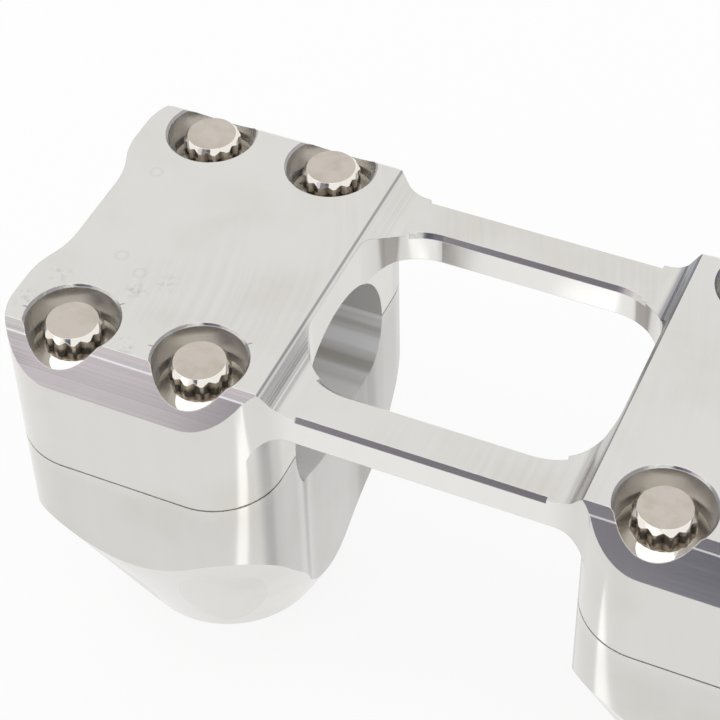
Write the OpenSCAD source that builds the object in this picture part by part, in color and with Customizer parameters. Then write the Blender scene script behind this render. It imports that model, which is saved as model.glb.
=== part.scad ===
// Pair of handlebar risers under a one-piece twin top clamp, held by eight
// twelve-point flange screws. The risers stand on z = 0, x runs along the
// handlebar, the rider's side faces -y, and the screws point up +z.

/* [Handlebar] */
// Bore of both clamps, the diameter of the handlebar where it is held
bar_d = 31.75; // [28.6:0.05:32.5]
// Distance between the middles of the two clamps
centres = 88.9; // [84:0.1:110]
// Height of the middle of the handlebar above the seats of the risers
rise = 50.8; // [50:0.1:64]

/* [Clamp blocks] */
// Width from the middle of a clamp to its outer side
side_out = 20.65; // [18:0.1:24]
// Width from the middle of a clamp to the side that faces the other one
side_in = 21.15; // [19:0.1:24]
// Depth of the blocks from front to rear
block_d = 62.2; // [58:0.1:72]
// Radius of the upright corners of the blocks
corner_r = 10.65; // [8:0.05:11.5]
// Height of the top clamp above the middle of the handlebar
clamp_h = 22.4; // [21:0.1:28]
// Depth of the front and rear slopes, measured back from the faces
slope_run = 5.8; // [4:0.1:7]
// Height of the front and rear slopes
slope_drop = 5.8; // [4:0.1:7]
// Share of each slope that its steeper upper facet takes
slope_split = 0.22; // [0.15:0.01:0.35]
// How far the upper facet stands proud of the straight slope
slope_proud = 0.16; // [0.05:0.01:0.3]

/* [Waists] */
// Depth of the shallow waists milled into the sides of the blocks
waist_depth = 2.3; // [1:0.1:3]
// Length of the flat middle of a waist
waist_flat = 12; // [4:0.5:14]
// Radius of the curves that lead in and out of a waist
waist_r = 13.5; // [9:0.5:16]

/* [Parting line] */
// Depth of the fine relief round the parting faces
relief_d = 0.25; // [0.1:0.05:0.5]
// Height of the fine relief on each of the parting faces
relief_h = 0.18; // [0.1:0.02:0.4]

/* [Crossbars] */
// Outer face of the crossbars, measured from the middle of the handlebar
bar_out = 24.6; // [23:0.1:28]
// Inner face of the crossbars, measured the same way
bar_in = 17.3; // [14:0.1:19]
// Height of the top of the crossbars above the middle of the handlebar
bar_top = 18.8; // [17:0.1:20]
// Thickness of the crossbars from top to underside
bar_t = 4.95; // [4:0.05:7]
// Chamfer along the top edges of the crossbars
bar_chamfer = 0.7; // [0.3:0.05:1]
// Distance from the ends of those chamfers to the hollow curves
chamfer_stop = 0.3; // [0.1:0.05:1]
// Radius of the corners of the window between the crossbars
window_r = 9.5; // [6:0.1:12]
// Radius that blends the outer faces of the crossbars into the blocks
blend_r = 6.35; // [4:0.05:8]
// Radius of the arches under the ends of the crossbars
arch_r = 6.35; // [4:0.05:8]

/* [Shoulders above the crossbars] */
// Distance of the edge of a block's top face back from its inner side
shoulder_back = 0.65; // [0.1:0.05:1]
// Run of the upper facet at the edge of a block's top face
facet_a_run = 0.6; // [0.2:0.05:0.6]
// Drop of the upper facet
facet_a_drop = 0.7; // [0.4:0.05:1]
// Run of the lower, steeper facet
facet_b_run = 1.15; // [0.3:0.05:1.5]
// Drop of the lower, steeper facet
facet_b_drop = 1.7; // [1:0.05:2]
// Length of the hollow curve that runs down to the top of the crossbars
sweep_run = 3.3; // [2:0.1:5]

/* [Screws] */
// Distance between the screws along the handlebar
screw_dx = 20.4; // [19:0.1:22]
// Distance between the screws across the handlebar
screw_dy = 44.45; // [42:0.05:46]
// Diameter of the screw shanks, a quarter-inch thread
shank_d = 6.35; // [5:0.05:6.5]
// Length of the screws under the head
shank_l = 31.75; // [28:0.25:38]
// Distance across the flats of the twelve-point heads
head_af = 7.94; // [7:0.02:8.2]
// Diameter that the points of the heads are turned down to
head_points_d = 8.9; // [8.4:0.05:9.1]
// Diameter of the flat on top of the heads
head_flat_d = 7.5; // [6.5:0.1:8]
// Height of the chamfer between the flat and the flutes
head_chamfer_h = 0.85; // [0.4:0.05:1.2]
// Height of the heads over all, flange included
head_h = 6.35; // [5.5:0.05:7]
// Diameter of the flange under the heads
flange_d = 12.7; // [11:0.1:13.2]
// Thickness of the flange at its rim
flange_t = 1.3; // [0.8:0.05:1.6]
// Height that the top of the flange rises from its rim to the flutes
flange_rise = 1.2; // [0.4:0.05:1.6]
// Diameter of the counterbores in the top clamp
counterbore_d = 13.7; // [13.4:0.1:14.5]
// Chamfer round the mouths of the counterbores
counterbore_chamfer = 0.35; // [0.2:0.05:0.6]
// Depth of the heads below the top face
head_sink = 0.3; // [0:0.05:1.5]
// Clearance of the shanks in the top clamp, on the radius
shank_clear = 0.2; // [0.1:0.05:0.3]
// Clearance between a shank and the wall of its tapped hole, on the radius
thread_clear = 0.05; // [0.03:0.01:0.1]
// Depth of the tapped holes below the tips of the screws
tip_room = 3; // [2:0.5:6]
// Chamfer at the tips of the screws
tip_chamfer = 0.8; // [0.4:0.1:1.2]

/* [Risers] */
// Diameter of the round seats under the risers
seat_d = 31.75; // [28:0.05:38]
// Angle of the taper that runs up from a seat, measured from upright
taper_angle = 25.25; // [23:0.05:27]
// How far the middles of the seats lie outside the middles of the clamps
seat_out = 0.55; // [0.1:0.05:1]
// Chamfer round the seats
seat_chamfer = 0.5; // [0.2:0.05:1]
// Diameter of the mounting holes, as tapped for half-inch bolts
mount_d = 12.7; // [10:0.1:14]
// Depth of the mounting holes from the seats
mount_depth = 25.4; // [15:0.1:28]
// Countersink round the mouths of the mounting holes
mount_sink = 0.8; // [0.3:0.1:1.5]
// Angle of the drill tips at the ends of the blind holes
drill_angle = 118; // [110:1:140]

/* [Hidden] */
eps = 0.01;
// Longer than anything in the part, and a smaller overrun for cutting shapes
far = 200;
over = 1;
fine = 64;
half = centres / 2;
// The curves of a waist reach this far past the side and into each other, so
// that they cross at a slight angle
lead = 0.02;
lap = 0.01;
// Places in the frame of one block, with the handlebar's middle at z = 0
top_edge = block_d / 2 - slope_run;
waist_dx = 2 * waist_r - waist_depth - lead;
waist_dy = sqrt(pow(2 * waist_r - lap, 2) - pow(waist_dx, 2));
waist_mid = (waist_flat + waist_dy) / 2;
waist_end = waist_flat / 2 + waist_dy;
inner_wall = half - side_in;
shoulder_x = inner_wall + shoulder_back;
facet_z = clamp_h - facet_a_drop - facet_b_drop;
sweep_x = shoulder_x - facet_a_run - facet_b_run;
sweep_drop = facet_z - bar_top;
sweep_r = (sweep_run * sweep_run + sweep_drop * sweep_drop) / (2 * sweep_drop);
sweep_end = sweep_x - sweep_run;
floor_z = clamp_h - head_sink - head_h;
bar_under = bar_top - bar_t;
blend_y = bar_out + blend_r;
corner_x = inner_wall + corner_r;
corner_y = block_d / 2 - corner_r;
blend_x = corner_x - sqrt(pow(corner_r + blend_r, 2) - pow(blend_y - corner_y, 2));
// The arch starts just inside the line where the blend leaves a block's corner
arch_back = 0.2;
arch_wall = corner_x - (corner_x - blend_x) * corner_r / (corner_r + blend_r) + arch_back;
window_x = inner_wall - window_r;
window_y = bar_in - window_r;
chamfer_end = sweep_end - chamfer_stop;
chamfer_turn = acos((chamfer_end - window_x) / window_r);

// Plan of a block, drawn for the right side with its inner side at -x
module rounded_plan(inset) {
    x0 = -side_in + inset;
    x1 = side_out - inset;
    y1 = block_d / 2 - inset;
    r = corner_r - inset;
    translate([x0 + r, -y1]) square([x1 - x0 - 2 * r, 2 * y1]);
    translate([x0, r - y1]) square([x1 - x0, 2 * (y1 - r)]);
    for (x = [x0 + r, x1 - r], y = [r - y1, y1 - r])
        translate([x, y]) circle(r = r, $fn = fine);
}

// Half of the shallow hollow that a waist takes out of a side lying on x = 0:
// a flat, a hollow curve and a round one that runs out at the side
module half_waist() {
    d = waist_depth;
    translate([-waist_r, 0]) square([waist_r + d, waist_flat / 2]);
    translate([d - waist_r, waist_flat / 2]) circle(r = waist_r, $fn = fine);
    difference() {
        translate([-waist_r, waist_mid]) square([waist_r + d, waist_dy / 2]);
        translate([waist_r - lead, waist_end]) circle(r = waist_r, $fn = fine);
    }
}

module waist(inset) {
    translate([inset, 0]) {
        half_waist();
        mirror([0, 1]) half_waist();
    }
}

// Plan of a block with its waists: the clamp has one, the riser has two
module block_plan(inset, both) {
    difference() {
        rounded_plan(inset);
        translate([side_out, 0]) mirror([1, 0]) waist(inset);
        if (both) translate([-side_in, 0]) waist(inset);
    }
}

// Moves what is drawn for the right block to its place on one side
module at_side(side) {
    if (side > 0) translate([half, 0, 0]) children();
    else mirror([1, 0, 0]) translate([half, 0, 0]) children();
}

// Upright prism of a block's plan between two heights, with a fine relief
// at the height of the parting line
module block_prism(z0, z1, both) {
    z_low = z0 == 0 ? relief_h : z0;
    z_high = z1 == 0 ? -relief_h : z1;
    translate([0, 0, z_low]) linear_extrude(z_high - z_low) block_plan(0, both);
    translate([0, 0, z0]) linear_extrude(z1 - z0) block_plan(relief_d, both);
}

// What is milled away along the rear edge of the blocks, drawn in y and z:
// two facets, the lower one carried on past the rear face
module slope_cut() {
    y0 = block_d / 2;
    z0 = clamp_h - slope_drop;
    ym = top_edge + slope_run * slope_split + slope_proud;
    zm = clamp_h - slope_drop * slope_split + slope_proud;
    past = over * (zm - z0) / (y0 - ym);
    polygon([[top_edge, clamp_h], [ym, zm], [y0 + over, z0 - past],
        [y0 + over, clamp_h + over], [top_edge, clamp_h + over]]);
}

// Plan of the two crossbars with their blends, before the window is cut
module web_plan() {
    for (m = [0, 1]) mirror([m, 0]) for (n = [0, 1]) mirror([0, n]) {
        difference() {
            square([corner_x, blend_y]);
            translate([0, bar_out]) square([blend_x, far]);
            translate([blend_x, blend_y]) circle(r = blend_r, $fn = fine);
            translate([corner_x, corner_y]) rotate(atan2(blend_y - corner_y,
                blend_x - corner_x)) translate([0, -far]) square([far, far]);
        }
    }
}

module window_plan() {
    translate([-window_x, -bar_in]) square([2 * window_x, 2 * bar_in]);
    translate([-inner_wall, -window_y]) square([2 * inner_wall, 2 * window_y]);
    for (x = [-window_x, window_x], y = [-window_y, window_y])
        translate([x, y]) circle(r = window_r, $fn = fine);
}

// What is milled away above the crossbars, drawn in x and z
module shoulder_cut() {
    z2 = clamp_h + over;
    translate([-sweep_end, bar_top]) square([2 * sweep_end, z2 - bar_top]);
    for (m = [0, 1]) mirror([m, 0]) {
        polygon([[shoulder_x, z2], [shoulder_x, clamp_h],
            [shoulder_x - facet_a_run, clamp_h - facet_a_drop],
            [sweep_x, facet_z], [sweep_end - eps, facet_z],
            [sweep_end - eps, z2]]);
        intersection() {
            translate([sweep_end, bar_top + sweep_r]) circle(r = sweep_r, $fn = fine);
            translate([sweep_end - eps, bar_top]) square([sweep_run + eps, sweep_drop + eps]);
        }
    }
}

// What lies open under the crossbars, drawn in x and z
module arch_cut() {
    x1 = arch_wall;
    translate([-x1, -far]) square([2 * x1, far + bar_under - arch_r]);
    translate([-x1 + arch_r, 0]) square([2 * (x1 - arch_r), bar_under]);
    for (x = [-x1 + arch_r, x1 - arch_r])
        translate([x, bar_under - arch_r]) circle(r = arch_r, $fn = fine);
}

// Turns a drawing in x and z into a solid that runs from front to rear
module along_y(length) {
    translate([0, length / 2, 0]) rotate([90, 0, 0]) linear_extrude(length) children();
}

// Section of a chamfer cut, for an edge at the origin with its face at -x
module edge_cut(c) {
    polygon([[-c, 0], [0, -c], [c, -c], [c, c], [-c, c]]);
}

// Chamfers on the top edges of both crossbars: the outer edges between
// their blends, and the window's edge as far as the hollow curves
module crossbar_chamfers() {
    c = bar_chamfer;
    for (m = [0, 1]) mirror([0, m, 0]) {
        translate([-chamfer_end, bar_out, bar_top]) rotate([90, 0, 90])
            linear_extrude(2 * chamfer_end) edge_cut(c);
        translate([-window_x, bar_in, bar_top]) rotate([90, 0, 90])
            linear_extrude(2 * window_x) mirror([1, 0]) edge_cut(c);
        for (n = [0, 1]) mirror([n, 0, 0]) translate([window_x, window_y, bar_top - c]) corner_chamfer();
    }
}

// Chamfer along one rounded corner of the window, as a sector of a cone
module corner_chamfer() {
    c = bar_chamfer;
    reach = 2 * window_r;
    intersection() {
        cylinder(h = 2 * c, r1 = window_r, r2 = window_r + 2 * c, $fn = fine);
        linear_extrude(2 * c) polygon([[0, 0], [0, reach],
            [reach * cos(chamfer_turn), reach * sin(chamfer_turn)]]);
    }
}

module crossbars() {
    difference() {
        linear_extrude(clamp_h) difference() {
            web_plan();
            window_plan();
        }
        along_y(far) arch_cut();
        crossbar_chamfers();
    }
}

// The four screw places of one block
module screw_places() {
    for (x = [-1, 1], y = [-1, 1])
        translate([x * screw_dx / 2, y * screw_dy / 2, 0]) children();
}

// Counterbore for a screw's head, with the clearance hole for its shank
module counterbore() {
    r = counterbore_d / 2;
    c = counterbore_chamfer;
    translate([0, 0, -eps]) cylinder(h = floor_z + 2 * eps, d = shank_d + 2 * shank_clear, $fn = fine);
    translate([0, 0, floor_z]) cylinder(h = clamp_h, r = r, $fn = fine);
    translate([0, 0, clamp_h - c]) cylinder(h = c + eps, r1 = r, r2 = r + c + eps, $fn = fine);
}

module bar_bore() {
    translate([-far / 2, 0, 0]) rotate([0, 90, 0]) cylinder(h = far, d = bar_d, $fn = fine);
}

// One piece of plate: two clamp blocks joined by a front and a rear crossbar
module top_clamp() {
    color([0.85, 0.84, 0.83]) translate([0, 0, rise]) difference() {
        union() {
            for (side = [-1, 1]) at_side(side) block_prism(0, clamp_h, false);
            crossbars();
        }
        for (m = [0, 1]) mirror([0, m, 0])
            translate([-far / 2, 0, 0]) rotate([90, 0, 90]) linear_extrude(far) slope_cut();
        along_y(far) shoulder_cut();
        bar_bore();
        for (side = [-1, 1]) at_side(side) screw_places() counterbore();
    }
}

// Taper that a riser is turned to, with a fine chamfer round its seat
module turned_form() {
    r = seat_d / 2;
    k = tan(taper_angle);
    c = seat_chamfer;
    translate([seat_out, 0, -rise]) {
        cylinder(h = c, r1 = r - c, r2 = r + c * k, $fn = fine);
        translate([0, 0, c]) cylinder(h = rise, r1 = r + c * k, r2 = r + (rise + c) * k, $fn = fine);
    }
}

// Tapped hole for a screw, with the tip that the drill leaves
module screw_hole() {
    r = shank_d / 2 + thread_clear;
    depth = shank_l - floor_z + tip_room;
    tip = r / tan(drill_angle / 2);
    translate([0, 0, -depth]) cylinder(h = depth + eps, r = r, $fn = fine);
    translate([0, 0, -depth - tip]) cylinder(h = tip, r1 = 0, r2 = r, $fn = fine);
}

// Blind hole up from a seat for the bolt that holds the riser down
module mount_hole() {
    r = mount_d / 2;
    c = mount_sink;
    tip = r / tan(drill_angle / 2);
    translate([seat_out, 0, -rise]) {
        translate([0, 0, -eps]) cylinder(h = mount_depth + eps, r = r, $fn = fine);
        translate([0, 0, mount_depth]) cylinder(h = tip, r1 = r, r2 = 0, $fn = fine);
        translate([0, 0, -eps]) cylinder(h = c + eps, r1 = r + c + eps, r2 = r, $fn = fine);
    }
}

// Lower clamp half, taper and seat in one piece, drawn for the right side
module riser() {
    difference() {
        intersection() {
            block_prism(-rise, 0, true);
            turned_form();
        }
        bar_bore();
        screw_places() screw_hole();
        mount_hole();
    }
}

module riser_at(side) {
    color([0.80, 0.79, 0.78]) translate([0, 0, rise]) at_side(side) riser();
}

module left_riser() { riser_at(-1); }
module right_riser() { riser_at(1); }

// Twelve-point head with a turned top, standing on its flange
module screw_head() {
    r_points = head_points_d / 2;
    r_flat = head_flat_d / 2;
    r_hex = head_af / 2 / cos(30);
    z_chamfer = head_h - head_chamfer_h;
    cylinder(h = flange_t, d = flange_d, $fn = fine);
    translate([0, 0, flange_t]) cylinder(h = flange_rise, d1 = flange_d, d2 = head_points_d, $fn = fine);
    intersection() {
        for (a = [0, 30]) rotate(a) cylinder(h = head_h, r = r_hex, $fn = 6);
        union() {
            cylinder(h = z_chamfer, r = r_points, $fn = fine);
            translate([0, 0, z_chamfer]) cylinder(h = head_chamfer_h, r1 = r_points, r2 = r_flat, $fn = fine);
        }
    }
}

module screw() {
    r = shank_d / 2;
    translate([0, 0, floor_z]) screw_head();
    translate([0, 0, floor_z - shank_l + tip_chamfer])
        cylinder(h = shank_l - tip_chamfer + eps, r = r, $fn = fine);
    translate([0, 0, floor_z - shank_l])
        cylinder(h = tip_chamfer, r1 = r - tip_chamfer, r2 = r, $fn = fine);
}

// A screw's place: side -1 left or 1 right, depth -1 front or 1 rear, and
// reach 1 for the outer or -1 for the inner of the two
module screw_at(side, depth, reach) {
    color([0.72, 0.69, 0.63]) translate([0, 0, rise]) at_side(side)
        translate([reach * screw_dx / 2, depth * screw_dy / 2, 0]) screw();
}

top_clamp();
left_riser();
right_riser();
screw_at(-1, -1, 1);  // screw_left_front_outer
screw_at(-1, -1, -1);  // screw_left_front_inner
screw_at(-1, 1, 1);  // screw_left_rear_outer
screw_at(-1, 1, -1);  // screw_left_rear_inner
screw_at(1, -1, 1);  // screw_right_front_outer
screw_at(1, -1, -1);  // screw_right_front_inner
screw_at(1, 1, 1);  // screw_right_rear_outer
screw_at(1, 1, -1);  // screw_right_rear_inner
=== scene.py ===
"""Looks for a pair of machined handlebar risers with a one-piece top clamp.

Metres, in the part's frame: x runs along the handlebar, the rider's side
faces -y, and the risers stand on z = 0.
"""

import math

import bpy
from mathutils import Matrix, Vector


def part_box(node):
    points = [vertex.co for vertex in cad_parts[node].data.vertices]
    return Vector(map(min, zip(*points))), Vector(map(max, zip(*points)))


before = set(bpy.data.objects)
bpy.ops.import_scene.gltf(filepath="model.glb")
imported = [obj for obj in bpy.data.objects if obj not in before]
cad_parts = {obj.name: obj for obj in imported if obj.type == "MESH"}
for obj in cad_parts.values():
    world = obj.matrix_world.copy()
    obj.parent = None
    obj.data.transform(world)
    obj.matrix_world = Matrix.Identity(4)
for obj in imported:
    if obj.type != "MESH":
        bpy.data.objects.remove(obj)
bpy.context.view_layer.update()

MM = 0.001
BLOCKS = ("top_clamp", "left_riser", "right_riser")
SCREWS = sorted(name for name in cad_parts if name.startswith("screw_"))

# Sizes of the part that the materials follow
CLAMP_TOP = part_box("top_clamp")[1].z
BAR_HEIGHT = 50.8 * MM
BORE_REACH = 16.4 * MM
COUNTERBORE_REACH = 6.93 * MM
BLOCK_MIDDLE = 44.45 * MM
SCREW_ALONG = 10.2 * MM
SCREW_ACROSS = 22.22 * MM
SLOPE_CREST = 26.7 * MM
SHOULDER_FOOT = CLAMP_TOP - 2.8 * MM
HEAD_VALLEY = 4.05 * MM
HEAD_POINT = 4.35 * MM

# How far a sharp edge looks rounded, and how sharply one finish gives way to another
EDGE_ROUND = 0.15 * MM
EDGE_SAMPLES = 6
HAIR = 0.1 * MM

# Wear on the left block's top. Places are x and y in millimetres, angles in degrees.
RING_STAINS = ((-54.3, -7.8), (-58.2, 10.6), (-50.1, -10.1))
RING_RADIUS = 0.9 * MM
SMUDGES = ((-60.9, -14.6), (-63, -21), (-49, -13.5), (-45.5, -10.7), (-45.2, -24.3))
SMUDGE_REACH = 2.6 * MM
BURRED = ((-54.65, -22.2), (-34.25, -22.2))
BURR_ANGLES = (183, 46)
BURR_START, BURR_END = 6.8 * MM, 7.85 * MM

# Camera of the photograph: where it stands and how it is turned
CAMERA_PLACE = Vector((0.0774, -0.2064, 0.2953))
CAMERA_AZIMUTH = math.radians(25.23)
CAMERA_ELEVATION = math.radians(46.19)
CAMERA_ROLL = math.radians(-1.67)
CAMERA_LENS = 110.13

# The studio: a floor that shows mostly as plain white and keeps a soft shadow,
# and two grey cards in front that dim the slopes and chamfers. The right card
# grows darker between two places along x.
FLOOR_HALF = 3.0
FLOOR_DROP = 0.2 * MM
FLOOR_WHITE = 0.86
ROOM_LIGHT = 0.92
CARD_Y = -0.6
CARD_FOOT, CARD_HEAD = 0.41, 1.05
CARD_LEFT, CARD_JOIN, CARD_RIGHT = -0.5, -0.29, 0.12

DARKER_FROM, DARKER_TO = -0.12, 0.0


def rgb(red, green, blue):
    """A colour given in 0 to 255, as the shaders want it."""
    def linear(level):
        level /= 255
        return level / 12.92 if level <= 0.04045 else ((level + 0.055) / 1.055) ** 2.4
    return (linear(red), linear(green), linear(blue), 1)


WHITE = (1, 1, 1, 1)
FLOOR = rgb(244, 244, 243)
PALE_CARD = rgb(228, 220, 229)
DARK_CARD = rgb(137, 134, 145)
DARKEST_CARD = rgb(84, 88, 108)

ALUMINIUM = rgb(220, 218, 214)
CLOUDED = rgb(215, 212, 206)
# Painted highlight on the bar's front face
BAR_FACE_HIGHLIGHT = rgb(234, 233, 230)
# Painted light and shade in the bored seat: a lightened colour, reflection bands, a lit
# foot and a shaded top
BORED_LIGHTENED = rgb(248, 248, 250)
BORED_REFLECTION_BAND = rgb(186, 182, 176)
BORED_FOOT_LIGHT = rgb(250, 250, 249)
BORED_ABOVE_SHADE = rgb(196, 196, 194)
# Tool marks, wear and the parting line, also used for painted shade
TOOL_MARK_AND_SHADE = rgb(149, 146, 148)
# Painted dark reflection on the right shoulder
DARK_REFLECTION = rgb(88, 92, 104)
GLEAM = rgb(245, 245, 245)

NICKEL = rgb(200, 192, 182)
NICKEL_HAZE = rgb(190, 181, 170)
# Painted shade in the flutes, and a painted highlight on their ridges
FLUTE_SHADE = rgb(122, 110, 96)
RIDGE_HIGHLIGHT = rgb(208, 200, 190)
# Painted highlight on the screw flange
FLANGE_HIGHLIGHT = rgb(238, 234, 227)
# Painted highlight on the head's chamfer ring
CHAMFER_HIGHLIGHT = rgb(238, 234, 226)

# An axis's share of a pattern: below 1 the pattern is drawn out along that axis
EVEN = (1, 1, 1)


class Nodes:
    """Short calls for building one node tree."""

    def __init__(self, owner):
        owner.use_nodes = True
        self.tree = owner.node_tree
        self.tree.nodes.clear()

    def add(self, kind, *inputs, **settings):
        """A node with its first inputs given in order, as values or as links."""
        node = self.tree.nodes.new("ShaderNode" + kind)
        for name, value in settings.items():
            setattr(node, name, value)
        for socket, value in zip(node.inputs, inputs):
            self.feed(socket, value)
        return node

    def feed(self, socket, value):
        if isinstance(value, bpy.types.NodeSocket):
            self.tree.links.new(value, socket)
        else:
            socket.default_value = value

    def math(self, operation, *inputs):
        return self.add("Math", *inputs, operation=operation).outputs[0]

    def times(self, first, *others):
        for other in others:
            first = self.math("MULTIPLY", first, other)
        return first

    def plus(self, first, *others):
        for other in others:
            first = self.math("ADD", first, other)
        return first

    def size(self, value):
        return self.math("ABSOLUTE", value)

    def most(self, first, *others):
        for other in others:
            first = self.math("MAXIMUM", first, other)
        return first

    def without(self, value):
        """1 where the mask is 0, and 0 where it is 1."""
        return self.math("SUBTRACT", 1.0, value)

    def above(self, value, low, high):
        """0 below low, 1 above high, and smooth between."""
        node = self.add("MapRange", value, low, high, 0.0, 1.0,
                        interpolation_type="SMOOTHSTEP")
        return node.outputs[0]

    def below(self, value, low, high):
        """1 below low, 0 above high, and smooth between."""
        return self.without(self.above(value, low, high))

    def line(self, value, at, half, soft):
        """1 within half of a place, and 0 from soft away."""
        return self.below(self.size(self.math("SUBTRACT", value, at)), half, soft)

    def split(self, vector):
        return self.add("SeparateXYZ", vector).outputs

    def length(self, vector):
        return self.add("VectorMath", vector, operation="LENGTH").outputs["Value"]

    def along(self, vector, way):
        return self.add("VectorMath", vector, way, operation="DOT_PRODUCT").outputs["Value"]

    def moved(self, vector, shift, share=EVEN):
        """The place from another origin, with a share of each axis."""
        return self.add("Mapping", vector, shift, (0, 0, 0), share).outputs[0]

    def mix(self, factor, a, b):
        node = self.add("Mix", data_type="RGBA")
        self.feed(node.inputs[0], factor)
        self.feed(node.inputs[6], a)
        self.feed(node.inputs[7], b)
        return node.outputs[2]

    def noise(self, place, scale, share=EVEN, detail=2.0):
        """Noise of that many grains a metre, drawn out where an axis's share is small."""
        node = self.add("TexNoise", self.moved(place, (0, 0, 0), share))
        node.inputs["Scale"].default_value = scale
        node.inputs["Detail"].default_value = detail
        return node.outputs["Fac"]

    def place(self):
        return self.add("TexCoord").outputs["Object"]

    def facing(self):
        return self.split(self.add("NewGeometry").outputs["Normal"])

    def metal(self, colour, rough, metallic):
        """The shader of a metal whose sharp edges catch light."""
        body = self.add("BsdfPrincipled")
        self.feed(body.inputs["Base Color"], colour)
        self.feed(body.inputs["Roughness"], rough)
        self.feed(body.inputs["Metallic"], metallic)
        edges = self.add("Bevel", EDGE_ROUND, samples=EDGE_SAMPLES).outputs[0]
        self.feed(body.inputs["Normal"], edges)
        self.add("OutputMaterial", body.outputs[0])

    def seen(self):
        """1 for the rays that show the background: in view, in metal or in glass."""
        path = self.add("LightPath").outputs
        return self.most(path["Is Camera Ray"], path["Is Transmission Ray"],
                         path["Is Glossy Ray"])


def put(name, data):
    thing = bpy.data.objects.new(name, data)
    bpy.context.scene.collection.objects.link(thing)
    return thing


def make_camera():
    camera = bpy.data.cameras.new("camera")
    camera.sensor_width = 36
    camera.lens = CAMERA_LENS
    camera.clip_start = 0.01
    place = put("camera", camera)
    turn = (Matrix.Rotation(CAMERA_AZIMUTH, 4, "Z")
            @ Matrix.Rotation(math.pi / 2 - CAMERA_ELEVATION, 4, "X")
            @ Matrix.Rotation(CAMERA_ROLL, 4, "Z"))
    place.matrix_world = Matrix.Translation(CAMERA_PLACE) @ turn
    bpy.context.scene.camera = place


def make_world():
    """A plain white studio, a little softer on the floor than in the metal."""
    world = bpy.data.worlds.new("studio")
    bpy.context.scene.world = world
    n = Nodes(world)
    soft = n.add("Background", WHITE, ROOM_LIGHT).outputs[0]
    white = n.add("Background", WHITE, 1.0).outputs[0]
    n.add("OutputWorld", n.add("MixShader", n.seen(), soft, white).outputs[0])


def make_sheet(name, corners):
    """A flat sheet of the studio, and the nodes of its material."""
    mesh = bpy.data.meshes.new(name)
    mesh.from_pydata(corners, [], [(0, 1, 2, 3)])
    material = bpy.data.materials.new(name)
    mesh.materials.append(material)
    return put(name, mesh), Nodes(material)


def make_floor():
    far = FLOOR_HALF
    corners = [(-far, -far, 0), (far, -far, 0), (far, far, 0), (-far, far, 0)]
    floor, n = make_sheet("floor", corners)
    floor.location.z = -FLOOR_DROP
    lit = n.add("BsdfDiffuse", FLOOR).outputs[0]
    white = n.add("Emission", WHITE, 1.0).outputs[0]
    share = n.times(n.seen(), FLOOR_WHITE)
    n.add("OutputMaterial", n.add("MixShader", share, lit, white).outputs[0])


def make_card(name, left, right):
    """A grey card that only the metal sees: its nodes, and the socket for its colour."""
    corners = [(left, CARD_Y, CARD_FOOT), (right, CARD_Y, CARD_FOOT),
               (right, CARD_Y, CARD_HEAD), (left, CARD_Y, CARD_HEAD)]
    card, n = make_sheet(name, corners)
    card.visible_camera = card.visible_shadow = card.visible_diffuse = False
    glow = n.add("Emission", WHITE, 1.0)
    n.add("OutputMaterial", glow.outputs[0])
    return n, glow.inputs["Color"]


def make_cards():
    n, colour = make_card("pale_card", CARD_LEFT, CARD_JOIN)
    n.feed(colour, PALE_CARD)
    n, colour = make_card("dark_card", CARD_JOIN, CARD_RIGHT)
    darker = n.above(n.split(n.place())[0], DARKER_FROM, DARKER_TO)
    n.feed(colour, n.mix(darker, DARK_CARD, DARKEST_CARD))


def make_lamp(name, shape, place, target, size, power):
    lamp = bpy.data.lights.new(name, "AREA")
    lamp.shape = shape
    lamp.size, lamp.size_y = size
    lamp.energy = power
    aim = (Vector(target) - Vector(place)).to_track_quat("-Z", "Y")
    put(name, lamp).matrix_world = Matrix.Translation(place) @ aim.to_matrix().to_4x4()


def make_lamps():
    """A soft lamp above, a weak strip in front, and one for the front corner's gleam."""
    make_lamp("key", "ELLIPSE", place=(-0.2, -0.35, 0.95), target=(-0.2, -0.35, 0),
              size=(1.6, 0.45), power=1.4)
    make_lamp("strip", "RECTANGLE", place=(-0.2, -0.64, 0.345), target=(-0.2, 0, 0.07),
              size=(0.9, 0.11), power=0.12)
    make_lamp("foot", "ELLIPSE", place=(0.014, -0.046, 0.001), target=(0.014, -0.046, 1),
              size=(0.06, 0.012), power=0.0009)


def from_screw(n, place):
    """How far away the nearest screw's axis is, by the part's symmetry."""
    x, y, _ = n.split(place)
    x = n.size(n.math("SUBTRACT", n.size(x), BLOCK_MIDDLE))
    x = n.math("SUBTRACT", x, SCREW_ALONG)
    y = n.math("SUBTRACT", n.size(y), SCREW_ACROSS)
    return n.length(n.add("CombineXYZ", x, y, 0.0).outputs[0])


def wear(n, place):
    """How dark the marks on the left block's top are."""
    def from_spot(x, y):
        return n.moved(place, (-x * MM, -y * MM, 0), (1, 1, 0))

    marks = []
    for spot in RING_STAINS:
        ring = n.line(n.length(from_spot(*spot)), RING_RADIUS, 0.05 * MM, 0.4 * MM)
        marks.append(n.times(ring, 0.09))
    grain = n.above(n.noise(place, 1400, detail=5), 0.45, 0.7)
    for spot in SMUDGES:
        patch = n.below(n.length(from_spot(*spot)), 0.3 * MM, SMUDGE_REACH)
        marks.append(n.times(patch, grain, 0.32))
    for spot in BURRED:
        for angle in map(math.radians, BURR_ANGLES):
            c, s = math.cos(angle), math.sin(angle)
            out = n.along(from_spot(*spot), (c, s, 0))
            aside = n.size(n.along(from_spot(*spot), (-s, c, 0)))
            burr = n.times(n.below(aside, 0.06 * MM, 0.16 * MM),
                           n.above(out, BURR_START - HAIR, BURR_START + HAIR),
                           n.below(out, BURR_END - 2.5 * HAIR, BURR_END + 2.5 * HAIR))
            marks.append(n.times(burr, 0.9))
    return n.plus(*marks)


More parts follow.
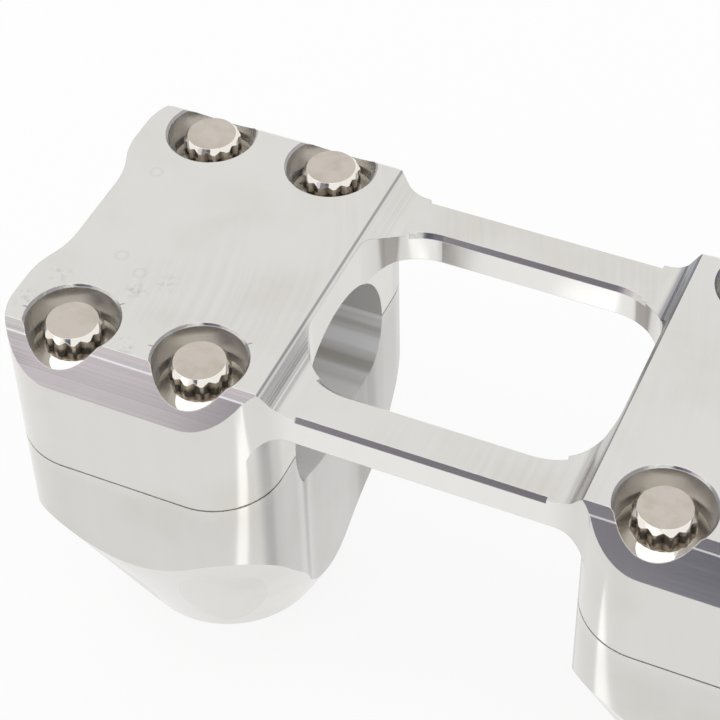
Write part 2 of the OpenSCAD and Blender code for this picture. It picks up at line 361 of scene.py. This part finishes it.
def milling_arcs(n, place):
    """Faint arcs that a face mill leaves, stronger here and there."""
    reach = n.length(n.moved(place, (0.1, 0.02, 0), (1, 1, 0)))
    wander = n.times(n.noise(place, 40), 0.002)
    track = n.add("CombineXYZ", n.plus(wander, reach), 0.0, 0.0).outputs[0]
    arcs = n.above(n.noise(track, 900, detail=3), 0.3, 0.7)
    return n.times(arcs, n.above(n.noise(place, 45), 0.4, 0.7))


def bore_light_and_shade(n, place, height):
    """Painted light in the bored seat: a lightened colour with painted reflection bands,
    paler with painted light at its foot, and a plain painted shade above the parting line.
    """
    reflection_bands = n.above(n.noise(place, 170, (0.02, 1, 1), 3), 0.4, 0.6)
    colour = n.mix(reflection_bands, BORED_LIGHTENED, BORED_REFLECTION_BAND)
    colour = n.mix(n.below(height, 36 * MM, 42 * MM), colour, BORED_FOOT_LIGHT)
    shaded_upper = n.above(height, BAR_HEIGHT, BAR_HEIGHT + HAIR)
    return n.mix(shaded_upper, colour, BORED_ABOVE_SHADE)


def aluminium():
    """Bare milled aluminium, with the marks of its tools, and painted highlights,
    reflections and shade.
    """
    material = bpy.data.materials.new("machined_aluminium")
    n = Nodes(material)
    place = n.place()
    x, y, z = n.split(place)
    to_x, to_y, to_z = n.facing()
    right = n.above(x, 0.0, 10 * MM)
    left = n.without(right)

    # Which kind of face this is: top, front or rear slope, shoulder, or side
    top = n.above(to_z, 0.97, 0.995)
    tilted = n.times(n.above(to_z, 0.25, 0.4), n.without(top))
    shoulder = n.times(tilted, n.above(n.size(to_x), 0.35, 0.55))
    slope = n.times(tilted, n.above(n.size(to_y), 0.35, 0.55))
    side = n.without(n.most(top, tilted))
    # Painted highlight: the bar's front face is drawn lighter than the rest
    bar_front_highlight = n.times(n.above(n.times(to_y, -1.0), 0.9, 0.97),
                        n.below(n.size(x), 18 * MM, 24 * MM))

    # The bored seat and the counterbores are duller than the faces
    axis = n.moved(place, (0, 0, -BAR_HEIGHT), (0, 1, 1))
    bore = n.times(n.below(n.length(axis), BORE_REACH - 2 * HAIR, BORE_REACH),
                   n.below(n.size(to_x), 0.4, 0.6))
    pocket = n.below(from_screw(n, place), COUNTERBORE_REACH - HAIR / 2,
                     COUNTERBORE_REACH + HAIR / 2)
    dull = n.most(bore, n.times(pocket, 0.4))

    # Lines along the slopes, most of all at the left end
    coarse = n.above(n.noise(place, 1500, (0.003, 1, 1), 5), 0.38, 0.64)
    fine = n.above(n.noise(place, 5000, (0.001, 1, 1)), 0.4, 0.6)
    lines = n.plus(n.times(coarse, 0.7), n.times(fine, 0.5))
    left_end = n.below(x, -62 * MM, -56 * MM)
    slope_dark = n.times(slope, lines, n.plus(n.times(left_end, 0.35), 0.25))

    # Lines along the shoulders: a hatch at the left one's front, painted shade over the
    # right one, a painted dark reflection band at its rear, and a dark edge where they
    # leave the top
    cross = n.above(n.noise(place, 2500, (1, 0.002, 1), 4), 0.38, 0.62)
    hatched = n.times(n.below(y, -12 * MM, -8 * MM), left)
    hatched = n.plus(n.times(hatched, 0.5), 0.12)
    shoulder_dark = n.times(shoulder, n.plus(n.times(right, 0.35), n.times(cross, hatched)))
    # Painted reflection: a dark band on the right shoulder's rear
    dark_reflection_band = n.times(shoulder, right, n.above(y, 8 * MM, 12 * MM),
                        n.plus(n.times(cross, 0.4), 0.6),
                        n.above(z, SHOULDER_FOOT - 4 * HAIR, SHOULDER_FOOT + 4 * HAIR))
    edge = n.times(shoulder, n.above(z, CLAMP_TOP - 4 * HAIR, CLAMP_TOP - 3 * HAIR))

    # The sides: fine upright lines, the parting line, and risers a little dimmer
    upright = n.times(side, n.noise(place, 500, (1, 1, 0.01), 3), 0.06)
    parting = n.times(side, n.line(z, BAR_HEIGHT, 0.08 * MM, 0.25 * MM), n.without(bore))
    risers = n.times(n.below(z, 48 * MM, 51 * MM), n.above(z, 10 * MM, 40 * MM), 0.08)

    # Painted shade: faces between the blocks are dimmer, most of all where the front corner
    # turns
    inward = n.times(to_x, -1.0, n.math("SIGN", x))
    reach = n.most(n.below(z, BAR_HEIGHT, BAR_HEIGHT + HAIR),
                   n.above(n.size(y), 19 * MM, 22 * MM))
    turned_shade = n.times(n.above(inward, 0.86, 0.93), n.below(inward, 0.955, 0.985), 0.25)
    inner_shade = n.times(n.plus(n.times(n.above(inward, 0.84, 0.95), 0.28), turned_shade), reach, side)

    dark = n.plus(slope_dark, shoulder_dark, upright, risers, inner_shade,
                  n.times(top, milling_arcs(n, place), 0.1))
    dark = n.plus(n.times(dark, n.without(dull)), n.times(top, wear(n, place)),
                  n.times(n.most(edge, parting), 0.75))
    crest = n.times(slope, n.line(n.size(y), SLOPE_CREST, 0.04 * MM, 0.16 * MM))

    cloud = n.above(n.noise(place, 70, detail=4), 0.42, 0.72)
    colour = n.mix(cloud, ALUMINIUM, CLOUDED)
    colour = n.mix(bar_front_highlight, colour, BAR_FACE_HIGHLIGHT)
    # Painted light and shade in the bored seat
    colour = n.mix(bore, colour, bore_light_and_shade(n, place, z))
    # Tool marks, wear and the parting line share this colour with the painted shade
    colour = n.mix(dark, colour, TOOL_MARK_AND_SHADE)
    # Painted dark reflection band on the right shoulder
    colour = n.mix(dark_reflection_band, colour, DARK_REFLECTION)
    crest_light = n.times(crest, n.plus(n.times(left, 0.35), 0.45))
    colour = n.mix(crest_light, colour, GLEAM)

    rough = n.plus(n.times(top, 0.08), 0.13, n.times(dark, 0.15),
                   n.times(n.most(dull, crest), 0.22))
    n.metal(colour, rough, n.without(n.times(dull, 0.48)))
    return material


def nickel():
    """Polished nickel plating, with painted shade in the flutes and painted highlights on
    their ridges, chamfer and flange.
    """
    material = bpy.data.materials.new("nickel_steel")
    n = Nodes(material)
    place = n.place()
    up = n.facing()[2]
    wall = n.below(up, 0.3, 0.45)
    chamfer = n.times(n.above(up, 0.45, 0.55), n.below(up, 0.72, 0.78))
    flange = n.times(n.above(up, 0.78, 0.82), n.below(up, 0.92, 0.97))
    point = n.above(from_screw(n, place), HEAD_VALLEY, HEAD_POINT)

    haze = n.above(n.noise(place, 350, detail=3), 0.35, 0.7)
    colour = n.mix(haze, NICKEL, NICKEL_HAZE)
    # Painted shade in the flutes, with painted highlights on their ridges
    colour = n.mix(wall, colour, n.mix(point, FLUTE_SHADE, RIDGE_HIGHLIGHT))
    # Painted highlight on the flange
    colour = n.mix(n.times(flange, 0.5), colour, FLANGE_HIGHLIGHT)
    # Painted highlight on the chamfer ring
    colour = n.mix(chamfer, colour, CHAMFER_HIGHLIGHT)
    rough = n.plus(n.times(n.noise(place, 2600), 0.05), 0.04)
    n.metal(colour, rough, 0.95)
    return material


def dress(nodes, material):
    for node in nodes:
        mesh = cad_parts[node].data
        mesh.materials.clear()
        mesh.materials.append(material)


make_camera()
make_world()
make_floor()
make_lamps()
make_cards()
dress(BLOCKS, aluminium())
dress(SCREWS, nickel())

bpy.context.scene.view_settings.view_transform = "Standard"
